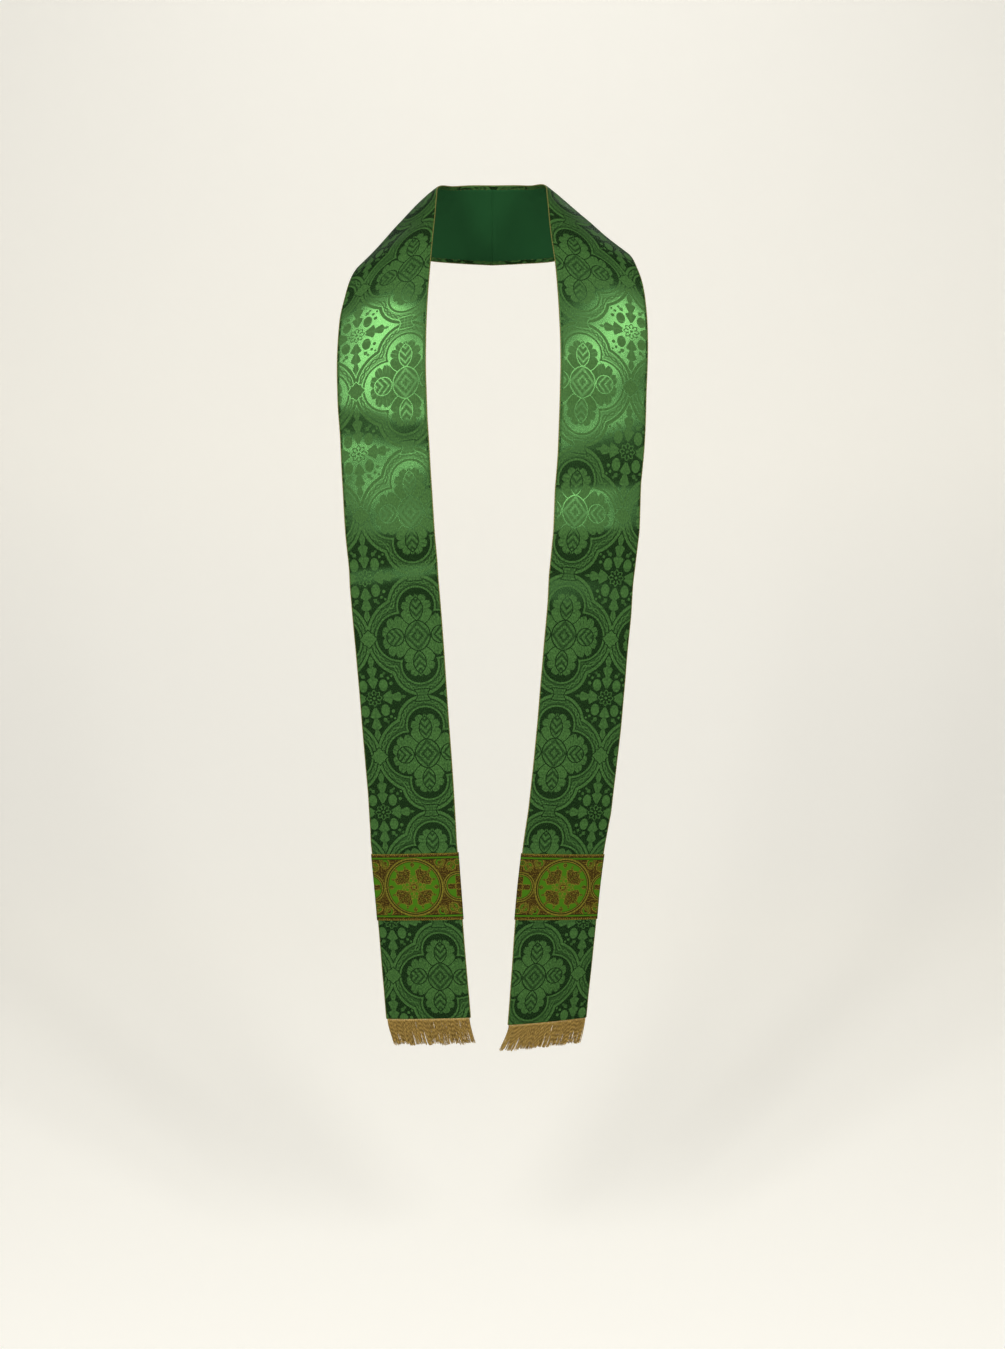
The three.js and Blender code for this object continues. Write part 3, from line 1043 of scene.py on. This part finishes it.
def fringe(half, material):
    random = np.random.default_rng(FRINGE_SEED + half.sign)
    count = THREADS_PER_ROW * THREAD_ROWS
    index = np.arange(count)
    row = index % THREAD_ROWS
    share = (index + 0.5) / count
    root = BAND_EDGE + THREAD_RADIUS + (BAND_WIDTH - 2 * (BAND_EDGE + THREAD_RADIUS)) * share
    clump = sum(size * np.sin(share * pace + turn) for size, pace, turn in CLUMPS)
    sway = half.inner_sway + (half.outer_sway - half.inner_sway) * share + clump
    sway = sway + random.normal(0, SWAY_SPREAD, count)
    length = THREAD_LENGTH - SHORTENING * random.random(count) ** 2
    length = length - LENGTH_RIPPLE[0] * (1 + np.sin(share * LENGTH_RIPPLE[1]))
    curl = random.normal(0, CURL_SPREAD, count)
    depth = (row - (THREAD_ROWS - 1) / 2) * ROW_DEPTH
    fall = np.linspace(0, 1, THREAD_RINGS)[None, :, None]
    turn = np.linspace(0, 2 * math.pi, THREAD_SIDES, endpoint=False)[None, None, :]
    each = (slice(None), None, None)
    phase = 2 * math.pi * (fall * length[each] / THREAD_TWIST + random.random(count)[each])
    radius, tint = twisted(turn, phase, THREAD_RADIUS)
    radius = radius * (1 - THREAD_TAPER * fall ** 4)
    bend = sway[each] * fall ** SWAY_CURVE + curl[each] * np.sin(CURL_TURNS * math.pi * fall)
    a = root[each] - bend + radius * np.cos(turn)
    lift = MID_CLOTH + depth[each] * (1 + ROW_SPREAD * fall) + radius * np.sin(turn)
    s = half.end + HEADING_ROWS[1] + fall * length[each]
    piece = tube_object(f"fringe_threads_{half.name}", half.place(s, a, lift), material, tint=tint)
    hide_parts(f"fringe_{half.name}")
    return piece


STITCH_RADIUS = 0.2
STITCH_RINGS = 6
STITCH_SIDES = 6
STITCH_DIVE = 0.25
TRIM_STITCH = {"length": 2.4, "spacing": 3.1, "from_edge": 1.6, "above": 0.05}
LINING_STITCH = {"length": 2.2, "spacing": 6.2, "from_end": 8, "below": 0.3}


def stitches(half, name, material, centres, direction, length, lift):
    """Short threads that dive into the cloth at both ends. centres is (distance, width) pairs."""
    t = np.linspace(-1, 1, STITCH_RINGS)[None, :, None]
    turn = np.linspace(0, 2 * math.pi, STITCH_SIDES, endpoint=False)[None, None, :]
    run_s, run_a = direction
    radius = STITCH_RADIUS * np.sqrt(np.maximum(1 - t * t, 0.1))
    side = radius * np.cos(turn)
    s = centres[:, 0][:, None, None] + run_s * t * length / 2 + run_a * side
    a = centres[:, 1][:, None, None] + run_a * t * length / 2 + run_s * side
    rise = lift - STITCH_DIVE * t * t + radius * np.sin(turn)
    grid = half.place(s, a, rise)
    piece = tube_object(name, grid, material, tint=np.full(grid.shape[:3], 0.5))
    return piece


def trim_stitches(half, material):
    widths = np.arange(3, BAND_WIDTH - 2, TRIM_STITCH["spacing"])
    inset = TRIM_STITCH["from_edge"]
    ends = (half.trim_top + inset, half.trim_bottom - inset)
    centres = np.concatenate([np.stack([np.full_like(widths, at), widths], -1) for at in ends])
    lift = GALLOON_LIFT + 2 * GALLOON_HALF + TRIM_STITCH["above"]
    name = f"trim_stitches_{half.name}"
    return stitches(half, name, material, centres, (0, 1), TRIM_STITCH["length"], lift)


def lining_stitches(half, material):
    inset = LINING_STITCH["from_end"]
    distances = np.arange(inset, half.end - inset, LINING_STITCH["spacing"])
    edges = (LINING_MARGIN, BAND_WIDTH - LINING_MARGIN)
    centres = np.concatenate([np.stack([distances, np.full_like(distances, at)], -1) for at in edges])
    lift = -CLOTH_THICKNESS - LINING_STITCH["below"]
    name = f"lining_stitches_{half.name}"
    return stitches(half, name, material, centres, (1, 0), LINING_STITCH["length"], lift)


# The setting: a pale floor that curves up behind the stole. Its lengths are metres.
FLOOR_LEVEL = -1.66
STAGE_HALF_WIDTH = 6.0
STAGE_FRONT = -6.0
STAGE_BACK = 3.0
STAGE_CURVE = 1.2
STAGE_TOP = 5.0
STAGE_STEPS = 17
PAPER = (0.90, 0.875, 0.805)
PAPER_GLOW = 0.26


def stage(material):
    turn = np.linspace(0, math.pi / 2, STAGE_STEPS)
    y = np.concatenate([[STAGE_FRONT], STAGE_BACK - STAGE_CURVE + STAGE_CURVE * np.sin(turn), [STAGE_BACK]])
    z = np.concatenate([[FLOOR_LEVEL], FLOOR_LEVEL + STAGE_CURVE * (1 - np.cos(turn)), [STAGE_TOP]])
    points = [(x, py, pz) for py, pz in zip(y, z) for x in (-STAGE_HALF_WIDTH, STAGE_HALF_WIDTH)]
    quads = [(2 * i, 2 * i + 1, 2 * i + 3, 2 * i + 2) for i in range(len(y) - 1)]
    mesh = bpy.data.meshes.new("floor")
    mesh.from_pydata(points, [], quads)
    mesh.polygons.foreach_set("use_smooth", np.ones(len(quads), bool))
    mesh.materials.append(material)
    floor = bpy.data.objects.new("floor", mesh)
    bpy.context.scene.collection.objects.link(floor)
    floor.visible_glossy = False


def paper_material():
    return new_material("paper", Roughness=0.9, **{
        "Base Color": (*PAPER, 1),
        "Emission Color": (*PAPER, 1),
        "Emission Strength": PAPER_GLOW,
    })[0]


def soft_light(name, place, aim, size, power):
    light = bpy.data.lights.new(name, "AREA")
    light.shape = "RECTANGLE"
    light.size, light.size_y = size
    light.energy = power
    lamp = bpy.data.objects.new(name, light)
    bpy.context.scene.collection.objects.link(lamp)
    lamp.location = place
    run = np.array(aim) - np.array(place)
    lamp.rotation_euler = (
        math.atan2(math.hypot(run[0], run[1]), -run[2]),
        0,
        math.atan2(-run[0], run[1]),
    )


# The camera: level with the chest, a little downward, so that the stole lies in the frame as it was seen.
CAMERA_PLACE = (0.015, -2.429, -0.273)
CAMERA_PITCH = 9.5
FOCAL_PIXELS = 1700
FRAME_HEIGHT = 1349
SENSOR = 36


def camera():
    data = bpy.data.cameras.new("camera")
    data.sensor_width = SENSOR
    data.lens = FOCAL_PIXELS / FRAME_HEIGHT * SENSOR
    data.clip_end = 50
    eye = bpy.data.objects.new("camera", data)
    eye.location = CAMERA_PLACE
    eye.rotation_euler = (math.radians(90 - CAMERA_PITCH), 0, 0)
    bpy.context.scene.collection.objects.link(eye)
    bpy.context.scene.camera = eye


# Soft boxes: place and aim in metres, width and height, and watts. The world adds a faint cool light.
LIGHTS = {
    "left_box": ((-1.55, -2.95, 1.2), (0, -0.1, -0.5), (0.9, 1.9), 82),
    "right_box": ((2.0, -2.9, 1.25), (0, -0.1, -0.5), (0.9, 1.9), 74),
    "back_light": ((0, 2.3, 2.2), (0, 0, -0.4), (2.4, 1.2), 25),
}
WORLD_COLOUR = (0.93, 0.95, 1)
WORLD_STRENGTH = 0.08


def lighting():
    world = bpy.data.worlds.new("world")
    bpy.context.scene.world = world
    world.use_nodes = True
    background = world.node_tree.nodes["Background"]
    background.inputs["Color"].default_value = (*WORLD_COLOUR, 1)
    background.inputs["Strength"].default_value = WORLD_STRENGTH
    for name, values in LIGHTS.items():
        soft_light(name, *values)
    bpy.context.scene.view_settings.view_transform = "Standard"


camera()
lighting()
stage(paper_material())

brocade = brocade_material()
lining_cloth = lining_material()
galloon_weave = galloon_material()
cord_thread = thread_material("cord_thread")
gold_thread = thread_material("gold_thread")

for half in HALVES:
    sheet = panel(half, brocade)
    trimming = [
        lining(half, lining_cloth),
        galloon(half, galloon_weave),
        edge_cord(half, "inner", PIPING_DIAMETER / 2, cord_thread),
        edge_cord(half, "outer", BAND_WIDTH - PIPING_DIAMETER / 2, cord_thread),
        heading(half, gold_thread),
        fringe(half, gold_thread),
        trim_stitches(half, gold_thread),
        lining_stitches(half, cord_thread),
    ]
